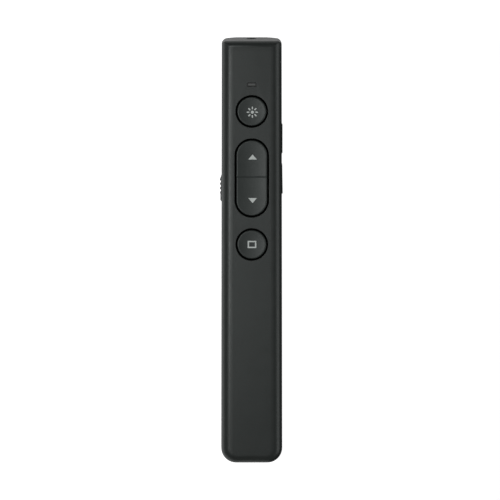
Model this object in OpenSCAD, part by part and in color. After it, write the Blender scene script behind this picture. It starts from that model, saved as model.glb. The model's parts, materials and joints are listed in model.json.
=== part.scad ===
// Slim wireless presentation clicker.
// It lies on the resting flat of its rounded back. +Z leaves the button face, +Y points to the laser end
// and +X to the two side keys. The origin is the middle of the resting flat. All sizes are in millimetres.

/* [Body] */
// Length from the tail to the laser end
body_l = 142.6; // [138:0.1:150]
// Width across the tail
tail_w = 20.5; // [20:0.1:21.5]
// Width across the laser end
head_w = 20; // [19.5:0.1:21]
// Thickness from the resting flat to the button face
body_t = 14.5; // [14.4:0.1:16]
// How far the radius of the rounded back exceeds half the width of the wider end
back_bulge = 0.3; // [0.2:0.05:0.5]
// Width of the resting flat along the back
rest_w = 6; // [5:0.5:7]
// Wall of the front cover and of the rear housing
wall = 1.3; // [1.2:0.05:1.5]
// Wall that closes the laser end
end_wall = 2; // [1.6:0.1:3]
// Height of the seam between the front cover and the rear housing
seam_z = 7.2; // [7:0.1:7.4]
// Rounding along the long front edges
front_round = 3; // [2:0.1:3.2]
// Radius of the two tail corners seen from the front
tail_corner = 5; // [4.5:0.1:6]
// Radius of the two corners at the laser end seen from the front
head_corner = 1.6; // [1:0.1:2.4]
// Rounding of the tail's back edge
tail_back_round = 4; // [3:0.1:4.5]
// Rounding of the front edge at the laser end
head_front_round = 2; // [1:0.1:2.5]
// Rounding of the back edge at the laser end
head_back_round = 1; // [0.5:0.1:1.5]

/* [Buttons] */
// Distance from the laser end to the middle of the laser button
laser_button_at = 23.5; // [23:0.1:25]
// Distance from the laser end to the middle of the page rocker
rocker_at = 45.9; // [45.5:0.1:47]
// Distance from the laser end to the middle of the screen button
screen_button_at = 68.3; // [68:0.1:74]
// Diameter of the openings for the two round buttons
button_hole_d = 10.9; // [9.5:0.1:11.2]
// Width of the opening for the page rocker
rocker_hole_w = 11.5; // [10:0.1:11.6]
// Length of the opening for the page rocker
rocker_hole_l = 26.6; // [24:0.1:27]
// Gap between a cap and its opening
cap_gap = 0.6; // [0.3:0.05:0.8]
// Depth of the finger dish in each cap
dish_depth = 0.2; // [0.1:0.05:0.3]
// Thickness of the flange that keeps a cap in the cover
flange_t = 0.65; // [0.5:0.05:0.8]
// How far a flange reaches past its opening
flange_lip = 0.75; // [0.5:0.05:0.8]
// Travel of the round buttons and of the side keys
press_travel = 0.35; // [0.2:0.05:0.4]
// Tilt of the page rocker to each side, in degrees
rocker_tilt = 2; // [1:0.1:2.2]
// Diameter of the rocker's trunnions
trunnion_d = 1.4; // [1:0.1:1.5]

/* [Side controls] */
// Distance from the button face to the middle line of the side controls
side_drop = 4.9; // [4.8:0.05:5]
// Height of the side keys and of the slider knob
side_h = 3.4; // [2.6:0.1:3.6]
// Distance from the laser end to the middle of the upper side key
upper_key_at = 33.1; // [32.5:0.1:33.5]
// Length of the upper side key
upper_key_l = 9.9; // [8:0.1:10.5]
// How far the upper side key stands proud
upper_key_proud = 0.25; // [0.2:0.05:0.5]
// Distance from the laser end to the middle of the lower side key
lower_key_at = 46.6; // [46.4:0.1:48]
// Length of the lower side key
lower_key_l = 10.1; // [8:0.1:10.5]
// How far the lower side key stands proud at its tail end
lower_key_proud = 0.3; // [0.2:0.05:0.7]
// Distance from the laser end to the middle of the slider knob
slider_at = 49.3; // [49:0.1:52]
// Length of the slider knob
slider_l = 9.4; // [8.5:0.1:10]
// Travel of the slider knob
slider_travel = 2.4; // [1.5:0.1:2.6]
// How far the ribs of the slider knob stand proud
slider_proud = 0.54; // [0.4:0.02:0.7]
// Pitch of the ribs on the slider knob
slider_rib_pitch = 1.48; // [1.2:0.02:1.5]

/* [Board] */
// Gap between the front cover and the top of the main board
board_drop = 3.3; // [3.2:0.05:3.4]
// Thickness of the main board
board_t = 0.8; // [0.6:0.1:1]
// Width of the main board
board_w = 14.4; // [14:0.1:14.5]
// Edge of a button switch
switch_edge = 4.5; // [3.6:0.1:4.8]
// Height of a switch body
switch_h = 1.2; // [1:0.05:1.25]
// Diameter of a button switch's plunger
plunger_d = 2; // [1.5:0.1:2.4]
// Distance from the rocker's middle to each page switch
page_switch_at = 8; // [7:0.1:9]
// Length of the slit for the status light
light_slit_l = 2.9; // [2:0.1:4]
// Width of the slit for the status light
light_slit_w = 1.1; // [0.8:0.1:1.4]
// Distance from the laser end to the slit
light_slit_at = 14.5; // [14:0.1:15]

/* [Laser] */
// Height of the laser axis above the resting flat
laser_z = 5.2; // [4.9:0.1:5.4]
// Diameter of the laser barrel
barrel_d = 6.4; // [6:0.1:6.6]
// Length of the laser barrel inside the end wall
barrel_l = 13.3; // [12:0.1:13.6]
// Diameter of the aperture in the laser end
aperture_d = 3.4; // [2.8:0.1:4]

/* [Battery] */
// Diameter of the battery cell
cell_d = 10.5; // [10:0.1:10.7]
// Length of the battery cell over its nub
cell_l = 44.5; // [43.5:0.1:44.6]
// Wire of the negative contact spring
spring_wire = 0.5; // [0.3:0.05:0.6]
// Number of turns of the negative contact spring
spring_turns = 3; // [2:0.5:3]
// Thickness of the contact metal
contact_t = 0.3; // [0.2:0.05:0.4]

/* [Receiver] */
// Width of the receiver's grip head
grip_w = 14.5; // [13:0.1:14.8]
// Length of the receiver's grip head
grip_l = 6.6; // [5:0.1:7.5]
// Thickness of the receiver's grip head
grip_t = 6.3; // [6.1:0.05:6.5]
// Width of the receiver's plug
plug_w = 12; // [11.9:0.05:12.1]
// Length of the receiver's plug
plug_l = 12; // [11:0.1:12.5]
// Thickness of the receiver's plug
plug_t = 4.5; // [4.4:0.05:4.6]
// Distance from the laser end to the receiver's grip head
receiver_at = 57; // [56.5:0.1:58]

/* [Fasteners] */
// Shank diameter of the housing screws
screw_d = 1.7; // [1.4:0.1:1.8]
// Head diameter of the housing screws
screw_head_d = 3.2; // [2.6:0.1:3.3]
// Shank diameter of the board screws
board_screw_d = 1.2; // [1:0.1:1.4]

/* [Hidden] */
$fn = 64;

// Small distances that many places share
eps = 0.01;
far = 200;
slide_gap = 0.1;
door_gap = 0.12;
print_t = 0.1;

// Places along the body
head_y = body_l / 2;
tail_y = -body_l / 2;
corner_y = tail_y + tail_corner;
side_tilt = atan((tail_w - head_w) / 2 / (head_y - corner_y));
function half_w(y) = tail_w / 2 - (y - corner_y) * tan(side_tilt);

// How far the circles of the two corners at the laser end pass the side and the end face
head_corner_pass = 0.02;

// The rounded back: a circle along the body, cut by the resting flat
back_r = max(tail_w, head_w) / 2 + back_bulge;
back_z = sqrt(back_r * back_r - rest_w * rest_w / 4);
function inner_x(z) = sqrt(pow(back_r - wall, 2) - pow(back_z - z, 2));

front_in = body_t - wall;
end_in = head_y - end_wall;
laser_button_y = head_y - laser_button_at;
rocker_y = head_y - rocker_at;
screen_button_y = head_y - screen_button_at;

// Heights inside the front cover
flange_top = front_in - slide_gap;
board_top = front_in - board_drop;
board_bottom = board_top - board_t;
plunger_rise = 0.5;
plunger_top = board_top + switch_h + plunger_rise;
plunger_fit = 0.06;
guide_t = 0.8;
guide_r = button_hole_d / 2 + flange_lip + slide_gap;
guide_drop = 1.6;

// The rocker turns about its trunnions, which sit in two ears of the cover
pivot_z = front_in - 1;
trunnion_fit = 0.05;
rocker_flange_top = flange_top - sin(rocker_tilt) * rocker_hole_l / 2 - 0.03;
rocker_flange_bottom = rocker_flange_top - flange_t;
ear_gap = 0.2;
ear_t = 0.75;
ear_x = rocker_hole_w / 2 + flange_lip + ear_gap;
page_switch_ys = [rocker_y + page_switch_at, rocker_y - page_switch_at];
page_plunger_top = board_top + switch_h + 0.1;

// Side controls
side_z = body_t - side_drop;
side_gap = 0.15;
key_lip = 0.5;
key_flange_t = 0.6;
side_switch_l = 2.8;
side_plunger_d = 0.9;
side_plunger_z = board_top + switch_h / 2;
side_stem_l = 0.4;
side_plunger_rise = 0.5;
side_bore_l = 1.9;
side_stem_w = 2;
upper_key_y = head_y - upper_key_at;
lower_key_y = head_y - lower_key_at;
slider_y = head_y - slider_at;
function key_back_x(y) = half_w(y) - wall - slide_gap - key_flange_t;
function side_plunger_x(y) = key_back_x(y) - side_stem_l;
function side_switch_x(y) = side_plunger_x(y) - side_plunger_rise;
slider_recess = 0.5;
slider_neck_l = 3;
slider_neck_h = 1.5;
slider_flange_l = 6;
lever_w = 1.2;
lever_h = 0.9;
lever_z = board_top + 0.75;
lever_fit = 0.05;
lever_reach = 1.2;
power_switch_l = 6.8;
power_switch_w = 2.7;
power_switch_h = 1.4;

// Main board, from behind the battery bay to the laser end
bay_head_y = tail_y + wall + cell_l + 4.6;
bulkhead_t = 1.2;
block_l = 8.4;
board_tail_y = bay_head_y + bulkhead_t + 0.3;
board_head_y = head_y - 11.6;
light_y = head_y - light_slit_at;
radio_size = [5, 5, 0.9];
crystal_size = [2.5, 3.2, 0.7];
small_size = [1.6, 0.8, 0.6];
small_row_x = 4.6;
small_pitch = 1.6;
antenna_pitch = 1.2;
antenna_line_w = 0.4;
antenna_l = 2.6;
antenna_y = screen_button_y - radio_size.y / 2 - antenna_l - 1;

// Laser module
barrel_r = barrel_d / 2;
barrel_bore_r = 2.3;
barrel_head_y = end_in - 0.05;
barrel_tail_y = barrel_head_y - barrel_l;
laser_board_y = barrel_tail_y - 0.6;
laser_board_t = 0.8;
laser_pin_w = 0.5;
laser_pin_xs = [-1.3, 1.3];

// Battery bay
cell_r = cell_d / 2;
cell_z = wall + 0.35 + cell_r;
cell_nub_l = 1;
cell_nub_r = 2.75;
cell_head_y = bay_head_y - 2 * contact_t - cell_nub_l;
cell_tail_y = cell_head_y - cell_l + cell_nub_l;
negative_plate_y = tail_y + wall + 0.15;
cell_saddle_ys = [cell_head_y - 0.37 * cell_l, cell_head_y - 0.82 * cell_l];
strip_gap = 0.5;
strip_x = half_w(corner_y) - wall - strip_gap;
strip_w = 2;
saddle_t = 1.2;
lead_w = 2;
lead_x = 1.6;

// Battery door and its rails
door_z = 4.6;
door_head_y = bay_head_y + 7;
plug_x = 8.1;
plug_z = 6.35;
rail_x = 6.5;
rail_w = 0.8;
rail_lip = 0.5;
rail_top = 6.2;
rail_lip_t = 0.65;
ledge_x = rail_x + rail_w + 0.15;
ledge_top = rail_top - rail_lip_t - 0.15;
rail_tail_y = tail_y + tail_corner - 0.5;
rail_head_y = bay_head_y - 0.9;
block_z = 4.9;

// Receiver and its pocket
receiver_gap = 0.15;
grip_tail_y = head_y - receiver_at;
grip_head_y = grip_tail_y + grip_l;
plug_head_y = grip_head_y + plug_l;
plug_shell_t = 0.3;
plug_z0 = grip_t - plug_t - 0.15;
plug_root = 1;
plug_hole_w = 2.3;
plug_hole_l = 2;
plug_contact_pitch = 2.33;
tongue_t = 1.9;
tongue_z = plug_z0 + plug_t - plug_shell_t - tongue_t;
tray_t = 0.8;
tray_scoop_l = 4.2;

// Screws
screw_head_h = 1.1;
screw_fit = 0.05;
screw_hole_fit = 0.1;
tail_screw_y = bay_head_y + 4;
tail_screw_x = 5.2;
head_screw_y = head_y - 8.5;
head_screw_x = 5.9;
tail_screw_seat = block_z + 1.2;
head_screw_seat = 4.4;
boss_r = 1.9;
boss_gap = 0.3;
pilot_top = front_in - 1.9;
board_boss_r = 1.5;
board_boss_x = 5.6;
board_screw_places = [
    [-board_boss_x, laser_button_y - 7.7],
    [board_boss_x, screen_button_y + 8.4]
];
board_screw_head_d = 2.5;
board_screw_head_h = 0.7;
tab_drop = 0.75;
tab_x = inner_x(seam_z - tab_drop) - 0.12;
tab_ys = [bay_head_y - 37.4, bay_head_y - 12, screen_button_y, laser_button_y + 4.5];

plastic = "#2b2d2d";
cap_plastic = "#303434";
steel = "#b9bcbf";
brass = "#c9a24a";
board_green = "#1f5a3a";
gold = "#d9b24c";

// The rim seen end on: its outer face is at x = reach and curves into the button face at z = top
module rim_profile(back, reach, top, r) {
    polygon([
        [-back, -1], [reach, -1], [reach, top - r], [reach - r, top - r], [reach - r, top], [-back, top]
    ]);
    translate([reach - r, top - r]) intersection() {
        circle(r);
        square(r);
    }
}

// The tail seen from the side, as far as its rounded back edge goes
module tail_profile(reach, r, inset) {
    polygon([
        [-reach, far], [-reach, inset + r], [r - reach, inset + r],
        [r - reach, inset], [far, inset], [far, far]
    ]);
    translate([r - reach, inset + r]) intersection() {
        circle(r);
        translate([-r, -r]) square(r);
    }
}

// A straight side, a tail corner and the tail's edge, with the middle of the corner at the origin
module corner_form(inset) {
    r = front_round - min(inset, front_round - 0.5);
    reach = tail_corner - inset;
    top = body_t - inset;
    half_far = far / 2;
    intersection() {
        union() {
            translate([0, far, 0]) rotate([90, 0, 0])
                linear_extrude(far) rim_profile(half_far, reach, top, r);
            rotate([0, 0, -90]) rotate_extrude(angle = 90) rim_profile(0, reach, top, r);
            mirror([0, 1, 0]) translate([-half_far, 0, 0]) rotate([90, 0, 90])
                linear_extrude(half_far) rim_profile(0, reach, top, r);
        }
        translate([-half_far, 0, 0]) rotate([90, 0, 90]) linear_extrude(far)
            tail_profile(reach, tail_back_round - inset, inset);
    }
}

// The body seen from the front. Each half turns about its tail corner until its side has the taper.
module plan_form(inset) {
    both_sides() intersection() {
        translate([tail_w / 2 - tail_corner, corner_y, 0]) rotate([0, 0, side_tilt]) corner_form(inset);
        translate([0, -far / 2, -1]) cube(far);
    }
}

// The section of the body: a round back below straight sides
module back_form(inset) {
    translate([0, far / 2, 0]) rotate([90, 0, 0]) linear_extrude(far) translate([0, back_z]) {
        intersection() {
            circle(back_r - inset);
            translate([-far / 2, -far]) square(far);
        }
        translate([inset - back_r, 0]) square([2 * (back_r - inset), far / 2]);
    }
}

// The side view of the body, with its rounded edges at the laser end
module head_form(inset) {
    head = head_y - inset;
    r_back = max(head_back_round - inset, 0.2);
    r_front = max(head_front_round - inset, 0.2);
    top = body_t - inset;
    rotate([90, 0, 90]) translate([0, 0, -far / 2]) linear_extrude(far) {
        polygon([
            [-far, inset], [head - r_back, inset], [head - r_back, inset + r_back], [head, inset + r_back],
            [head, top - r_front], [head - r_front, top - r_front], [head - r_front, top], [-far, top]
        ]);
        translate([head - r_back, inset + r_back]) intersection() {
            circle(r_back);
            translate([0, -r_back]) square(r_back);
        }
        translate([head - r_front, top - r_front]) intersection() {
            circle(r_front);
            square(r_front);
        }
    }
}

// The laser end seen from the front, with its two corners
module head_corner_form(inset) {
    r = max(head_corner - inset, 0.2);
    reach = head_corner_pass - inset - r;
    middle = [head_w / 2 + reach, head_y + reach];
    translate([0, 0, -1]) linear_extrude(far) {
        translate([-far / 2, middle.y - far]) square(far);
        translate([-middle.x, middle.y]) square([2 * middle.x, r]);
        both_sides() translate(middle) intersection() {
            circle(r);
            square(r);
        }
    }
}

// The whole body, or its inside when inset is the wall
module body_form(inset) {
    intersection() {
        plan_form(inset);
        back_form(inset);
        head_form(inset);
        head_corner_form(inset);
    }
}

// A box given by its lowest and its highest corner
module span(low, high) {
    translate(low) cube(high - low);
}

// The same shape on both sides of the middle plane
module both_sides() {
    children();
    mirror([1, 0, 0]) children();
}

// A slot-shaped outline along Y
module stadium(w, l) {
    square([w, l - w], center = true);
    for (end = [-1, 1]) translate([0, end * (l - w) / 2]) intersection() {
        circle(d = w);
        translate([-w / 2, end > 0 ? 0 : -w / 2]) square([w, w / 2]);
    }
}

module upright(low_z, high_z, r) {
    translate([0, 0, low_z]) cylinder(h = high_z - low_z, r = r);
}

// Where the front cover and the rear housing meet
module cover_zone() {
    span([-far, -far, seam_z], [far, far, far]);
    span([-far, end_in, -1], [far, far, seam_z]);
}

module housing_zone() {
    span([-far, -far, -1], [far, end_in, seam_z]);
}

module key_window(y, l) {
    z = side_h / 2 + side_gap;
    span([half_w(y) - 2 * wall, y - l / 2 - side_gap, side_z - z], [far, y + l / 2 + side_gap, side_z + z]);
}

module slider_openings() {
    w = half_w(slider_y);
    z = side_h / 2 + side_gap;
    low_y = slider_y - slider_l / 2 - side_gap;
    high_y = slider_y + slider_l / 2 + slider_travel + side_gap;
    neck_y = slider_neck_l / 2 + side_gap;
    neck_z = slider_neck_h / 2 + side_gap;
    span([-far, low_y, side_z - z], [slider_recess - w, high_y, side_z + z]);
    span([-far, slider_y - neck_y, side_z - neck_z],
        [2 * wall - w, slider_y + neck_y + slider_travel, side_z + neck_z]);
}

module cover_fittings() {
    top = front_in + wall / 2;
    for (y = [laser_button_y, screen_button_y]) translate([0, y, 0])
        upright(front_in - guide_drop, top, guide_r + guide_t);
    both_sides() translate([ear_x, rocker_y, 0]) difference() {
        span([0, -1.5, pivot_z - 0.9], [ear_t, 1.5, top]);
        translate([-1, 0, pivot_z]) rotate([0, 90, 0]) cylinder(h = 3, r = trunnion_d / 2 + trunnion_fit);
        span([-1, 0.1 - trunnion_d / 2, 0], [3, trunnion_d / 2 - 0.1, pivot_z]);
    }
    both_sides() {
        translate([tail_screw_x, tail_screw_y, 0]) upright(seam_z, top, boss_r);
        translate([head_screw_x, head_screw_y, 0]) upright(seam_z, top, boss_r);
        for (y = tab_ys) translate([0, y, 0]) {
            span([tab_x - 0.6, -2, seam_z + 0.1], [half_w(y) - wall / 2, 2, seam_z + 1.6]);
            span([tab_x - 0.6, -2, seam_z - tab_drop], [tab_x, 2, seam_z + 0.2]);
        }
        span([spring_r - 0.3, negative_plate_y + contact_t + 0.05, cell_z + 0.7 * spring_r],
            [spring_r + 0.9, negative_plate_y + contact_t + 0.8, top]);
    }
    for (place = board_screw_places) translate([place.x, place.y, 0])
        upright(board_top, top, board_boss_r);
    for (y = cell_saddle_ys) difference() {
        span([-cell_r, y - saddle_t / 2, cell_z + cell_r / 2], [cell_r, y + saddle_t / 2, top]);
        translate([0, y - saddle_t, cell_z]) rotate([-90, 0, 0])
            cylinder(h = 2 * saddle_t, r = cell_r + slide_gap);
    }
    difference() {
        span([-2.5, end_in - 5, laser_z], [2.5, end_in - 3.8, top]);
        translate([0, end_in - 6, laser_z]) rotate([-90, 0, 0]) cylinder(h = 4, r = barrel_r + 0.03);
    }
    difference() {
        span([wall / 2 - half_w(bay_head_y), bay_head_y, seam_z], [half_w(bay_head_y) - wall / 2,
            bay_head_y + bulkhead_t, top]);
        span([lead_x - lead_w / 2 - 0.2, bay_head_y - 1, board_top - 0.2],
            [lead_x + lead_w / 2 + 0.2, far, board_top + contact_t + 0.2]);
        span([-far, bay_head_y - 1, board_top - 0.6], [0.45 - strip_x, far, board_top + strip_w]);
    }
}

module front_cover() color(plastic) {
    difference() {
        union() {
            difference() {
                intersection() {
                    body_form(0);
                    cover_zone();
                }
                intersection() {
                    body_form(wall);
                    span([-far, -far, -1], [far, end_in, far]);
                }
            }
            intersection() {
                body_form(wall / 2);
                cover_fittings();
            }
        }
        for (y = [laser_button_y, screen_button_y]) translate([0, y, 0]) {
            upright(front_in - guide_drop - eps, front_in, guide_r);
            upright(front_in - eps, far, button_hole_d / 2);
        }
        translate([0, rocker_y, front_in - eps]) linear_extrude(far) stadium(rocker_hole_w, rocker_hole_l);
        translate([0, light_y, body_t])
            cube([light_slit_l + 0.1, light_slit_w + 0.1, 4 * wall], center = true);
        key_window(upper_key_y, upper_key_l);
        key_window(lower_key_y, lower_key_l);
        slider_openings();
        translate([0, end_in - 1, laser_z]) rotate([-90, 0, 0]) cylinder(h = far, d = aperture_d);
        both_sides() {
            translate([tail_screw_x, tail_screw_y, 0]) upright(0, pilot_top, screw_d / 2 + screw_fit);
            translate([head_screw_x, head_screw_y, 0]) upright(0, pilot_top, screw_d / 2 + screw_fit);
        }
        for (place = board_screw_places) translate([place.x, place.y, 0])
            upright(0, front_in - 0.7, board_screw_d / 2 + screw_fit);
    }
}

// The region that the battery door takes out of the rear housing
module door_zone(gap) {
    span([-far, -far, -1], [far, door_head_y + gap, door_z + gap]);
    span([-plug_x - gap, -far, -1], [plug_x + gap, corner_y, plug_z + gap]);
}

module receiver_pocket() {
    span([-grip_w / 2 - receiver_gap, grip_tail_y - receiver_gap, -1],
        [grip_w / 2 + receiver_gap, plug_head_y + receiver_gap, grip_t + receiver_gap]);
    translate([0, grip_tail_y - 0.4, -1.3]) rotate([0, 90, 0]) cylinder(h = 9, r = 3.6, center = true);
}

module housing_fittings() {
    low = [-grip_w / 2 - receiver_gap - tray_t, grip_tail_y - tray_scoop_l, 0];
    span(low, [-low.x, plug_head_y + receiver_gap + tray_t, grip_t + receiver_gap + tray_t]);
    span([-far, bay_head_y, block_z], [far, bay_head_y + block_l, seam_z]);
    span([-far, door_head_y + door_gap, 0], [far, bay_head_y + block_l, seam_z]);
    for (y = [end_in - 10, end_in - 3.8]) difference() {
        span([-4.2, y, 0], [4.2, y + 1.2, laser_z]);
        translate([0, y - 1, laser_z]) rotate([-90, 0, 0]) cylinder(h = 4, r = barrel_r + 0.03);
    }
    both_sides() {
        translate([head_screw_x, head_screw_y, 0]) upright(0, seam_z, boss_r + 0.2);
        span([ledge_x, corner_y + 0.3, door_z + door_gap], [far, bay_head_y + 1, ledge_top]);
    }
}

module rear_housing() color(plastic) {
    difference() {
        union() {
            difference() {
                intersection() {
                    body_form(0);
                    housing_zone();
                }
                body_form(wall);
            }
            intersection() {
                body_form(wall / 2);
                housing_fittings();
            }
        }
        door_zone(door_gap);
        receiver_pocket();
        both_sides() {
            translate([tail_screw_x, tail_screw_y, 0]) {
                upright(0, far, screw_d / 2 + screw_hole_fit);
                upright(0, tail_screw_seat, screw_head_d / 2 + 0.15);
            }
            translate([head_screw_x, head_screw_y, 0]) {
                upright(0, far, screw_d / 2 + screw_hole_fit);
                upright(-1, head_screw_seat, screw_head_d / 2 + 0.15);
            }
        }
    }
}

module battery_door() color(plastic) {
    grip_y = door_head_y - 12;
    difference() {
        union() {
            difference() {
                intersection() {
                    body_form(0);
                    door_zone(0);
                }
                body_form(wall);
            }
            intersection() {
                body_form(wall / 2);
                both_sides() {
                    span([rail_x, rail_tail_y, 0], [rail_x + rail_w, rail_head_y, rail_top]);
                    span([rail_x, rail_tail_y, rail_top - rail_lip_t],
                        [rail_x + rail_w + rail_lip, rail_head_y, rail_top]);
                }
            }
        }
        for (i = [0:4]) translate([0, grip_y + 1.6 * i, -0.25]) rotate([0, 90, 0])
            cylinder(h = 9, r = 0.6, center = true);
    }
}

// A round cap with a rounded rim, a retaining flange and a post that meets its switch
module round_button(y) {
    cap_r = button_hole_d / 2 - cap_gap;
    rim = 0.35;
    dish_r = (cap_r * cap_r + dish_depth * dish_depth) / (2 * dish_depth);
    translate([0, y, 0]) difference() {
        rotate_extrude() {
            polygon([
                [0, plunger_top], [plunger_d / 2 + 0.3, plunger_top],
                [plunger_d / 2 + 0.3, flange_top - flange_t], [guide_r - slide_gap, flange_top - flange_t],
                [guide_r - slide_gap, flange_top], [cap_r, flange_top], [cap_r, body_t - rim],
                [cap_r - rim, body_t - rim], [cap_r - rim, body_t], [0, body_t]
            ]);
            translate([cap_r - rim, body_t - rim]) intersection() {
                circle(rim);
                square(rim);
            }
        }
        translate([0, 0, body_t - dish_depth + dish_r]) sphere(dish_r, $fn = 200);
    }
}

module laser_button() color(cap_plastic) round_button(laser_button_y);
module screen_button() color(cap_plastic) round_button(screen_button_y);

// A long cap with round ends and rounded rims, which rocks on two trunnions
module page_rocker() color(cap_plastic) {
    cap_w = rocker_hole_w - 2 * cap_gap;
    cap_l = rocker_hole_l - 2 * cap_gap;
    dish_w = cap_w - 0.8;
    dish_r = (dish_w * dish_w / 4 + dish_depth * dish_depth) / (2 * dish_depth);
    lip = flange_lip * 2;
    translate([0, rocker_y, 0]) difference() {
        union() {
            translate([0, 0, rocker_flange_top - eps])
                linear_extrude(body_t - rocker_flange_top + eps) stadium(cap_w, cap_l);
            translate([0, 0, rocker_flange_bottom]) linear_extrude(flange_t)
                stadium(rocker_hole_w + lip, rocker_hole_l + lip);
            for (y = page_switch_ys) translate([0, y - rocker_y, 0])
                upright(page_plunger_top + sin(rocker_tilt) * page_switch_at + 0.08,
                    rocker_flange_top, plunger_d / 2);
            translate([0, 0, pivot_z]) rotate([0, 90, 0])
                cylinder(h = 2 * (ear_x + ear_t - 0.1), d = trunnion_d, center = true);
        }
        translate([0, 0, body_t - dish_depth + dish_r]) rotate([90, 0, 0])
            cylinder(h = far, r = dish_r, center = true, $fn = 200);
        translate([0, 0, body_t - dish_depth]) rotate([45, 0, 0])
            cube([far, 0.25, 0.25], center = true);
    }
}

// A side key: outer face, flange inside the wall and a stem that meets the switch's plunger
module side_key(y, l, low_proud, high_proud) {
    w = half_w(y);
    inner = w - wall - slide_gap;
    translate([0, 0, side_z - side_h / 2]) linear_extrude(side_h) polygon([
        [inner - eps, y - l / 2], [w + low_proud - 0.25, y - l / 2], [w + low_proud, y - l / 2 + 0.25],
        [w + high_proud, y + l / 2 - 0.25], [w + high_proud - 0.25, y + l / 2], [inner - eps, y + l / 2]
    ]);
    span([inner - key_flange_t, y - l / 2 - key_lip, side_z - side_h / 2 - key_lip],
        [inner, y + l / 2 + key_lip, side_z + side_h / 2 + key_lip]);
    span([side_plunger_x(y), y - side_stem_w / 2, side_plunger_z - side_stem_w / 4],
        [inner, y + side_stem_w / 2, side_plunger_z + side_stem_w / 4]);
}

module upper_side_key() color(cap_plastic)
    side_key(upper_key_y, upper_key_l, upper_key_proud, upper_key_proud);
module lower_side_key() color(cap_plastic)
    side_key(lower_key_y, lower_key_l, lower_key_proud, lower_key_proud / 2);

module power_slider() color(cap_plastic) {
    w = half_w(slider_y);
    base = slider_recess - slide_gap;
    inner = w - wall - slide_gap;
    foot = 0.25;
    pad = 0.4;
    half = slider_l / 2;
    rib_y = slider_y + half - 2.3;
    difference() {
        union() {
            translate([0, 0, side_z - side_h / 2]) linear_extrude(side_h) {
                polygon([
                    [base - w, slider_y - half], [-w - pad + 0.2, slider_y - half],
                    [-w - pad, slider_y - half + 0.2], [-w - pad, slider_y - half + 2.2],
                    [-w - foot, slider_y - half + 2.5], [-w - foot, rib_y],
                    [-w - slider_proud, rib_y], [base - w - 0.1, slider_y + half], [base - w, slider_y + half]
                ]);
                for (i = [0:3]) translate([-w - slider_proud + 0.3, rib_y - i * slider_rib_pitch])
                    circle(0.3, $fn = 24);
            }
            span([-w + base - eps, slider_y - slider_neck_l / 2, side_z - slider_neck_h / 2],
                [-inner + eps, slider_y + slider_neck_l / 2, side_z + slider_neck_h / 2]);
            span([-inner, slider_y - slider_flange_l / 2, side_z - side_h / 2],
                [-inner + key_flange_t, slider_y + slider_flange_l / 2, side_z + side_h / 2]);
        }
        span([-inner - eps, slider_y - lever_w / 2 - lever_fit, lever_z - lever_h / 2 - lever_fit],
            [0, slider_y + lever_w / 2 + lever_fit, lever_z + lever_h / 2 + lever_fit]);
    }
}

module status_light_pipe() color("#8fd18f") {
    translate([0, light_y, 0]) {
        span([-light_slit_l / 2, -light_slit_w / 2, board_top + 0.75],
            [light_slit_l / 2, light_slit_w / 2, body_t - 0.1]);
        span([-light_slit_l / 2 - 0.6, -light_slit_w / 2 - 0.6, front_in - 0.8],
            [light_slit_l / 2 + 0.6, light_slit_w / 2 + 0.6, front_in - 0.05]);
    }
}

module status_led() color("#e8f4d8") translate([0, light_y, 0])
    span([-0.8, -0.4, board_top], [0.8, 0.4, board_top + 0.65]);

// The room that a side key or the slider takes beside the board
module board_notch(y, l) {
    span([key_back_x(y) - press_travel - slide_gap, y - l / 2 - 2 * key_lip, 0],
        [far, y + l / 2 + 2 * key_lip, far]);
}

module main_board() color(board_green) difference() {
    span([-board_w / 2, board_tail_y, board_bottom], [board_w / 2, board_head_y, board_top]);
    both_sides() {
        translate([tail_screw_x, tail_screw_y, 0]) upright(0, far, boss_r + boss_gap);
        board_notch(upper_key_y, upper_key_l);
        board_notch(lower_key_y, lower_key_l);
        board_notch(slider_y, slider_l + 2 * slider_travel);
    }
    span([-far, -far, 0], [contact_t + slide_gap - strip_x, tail_screw_y + boss_r + boss_gap, far]);
    for (place = board_screw_places) translate([place.x, place.y, 0])
        upright(0, far, board_screw_d / 2 + screw_hole_fit);
    for (x = laser_pin_xs)
        translate([x, laser_board_y - laser_board_t - laser_pin_w / 2, board_top])
            cube([laser_pin_w + 0.1, laser_pin_w + 0.1, 4], center = true);
}

// A flat part under the board, given by its middle and its size
module board_part(x, y, size) {
    translate([x - size.x / 2, y - size.y / 2, board_bottom - size.z]) cube(size);
}

module radio_chip() color("#1a1a1c") board_part(0, screen_button_y, radio_size);
module clock_crystal() color(steel)
    board_part(0, screen_button_y + (radio_size.y + crystal_size.y) / 2 + 1, crystal_size);

// Small chip parts in two rows beside the radio chip
module small_parts() color("#b08d57") for (row = [0:3], side = [-1, 1])
    board_part(side * small_row_x, screen_button_y + small_pitch * (row - 0.5), small_size);

// A folded trace between the screen button's switch and the tail screws
module antenna_trace() color(gold)
    translate([-2 * antenna_pitch, antenna_y, board_bottom - print_t]) {
        for (i = [0:4]) translate([antenna_pitch * i, 0, 0]) cube([antenna_line_w, antenna_l, print_t]);
        for (i = [0:3]) translate([antenna_pitch * i, i % 2 == 0 ? antenna_l - antenna_line_w : 0, 0])
            cube([antenna_pitch + antenna_line_w, antenna_line_w, print_t]);
    }

// A push switch that stands on the board under a button
module button_switch(y) {
    translate([0, y, 0]) difference() {
        span([-switch_edge / 2, -switch_edge / 2, board_top],
            [switch_edge / 2, switch_edge / 2, board_top + switch_h]);
        upright(board_top + 0.15, far, plunger_d / 2 + plunger_fit);
    }
}

module button_plunger(y) {
    translate([0, y, 0]) upright(board_top + 0.15 + press_travel + 0.1, plunger_top, plunger_d / 2);
}

module laser_switch() color("#3a3a3c") button_switch(laser_button_y);
module screen_switch() color("#3a3a3c") button_switch(screen_button_y);
module laser_switch_plunger() color("#d8d4c8") button_plunger(laser_button_y);
module screen_switch_plunger() color("#d8d4c8") button_plunger(screen_button_y);

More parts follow.
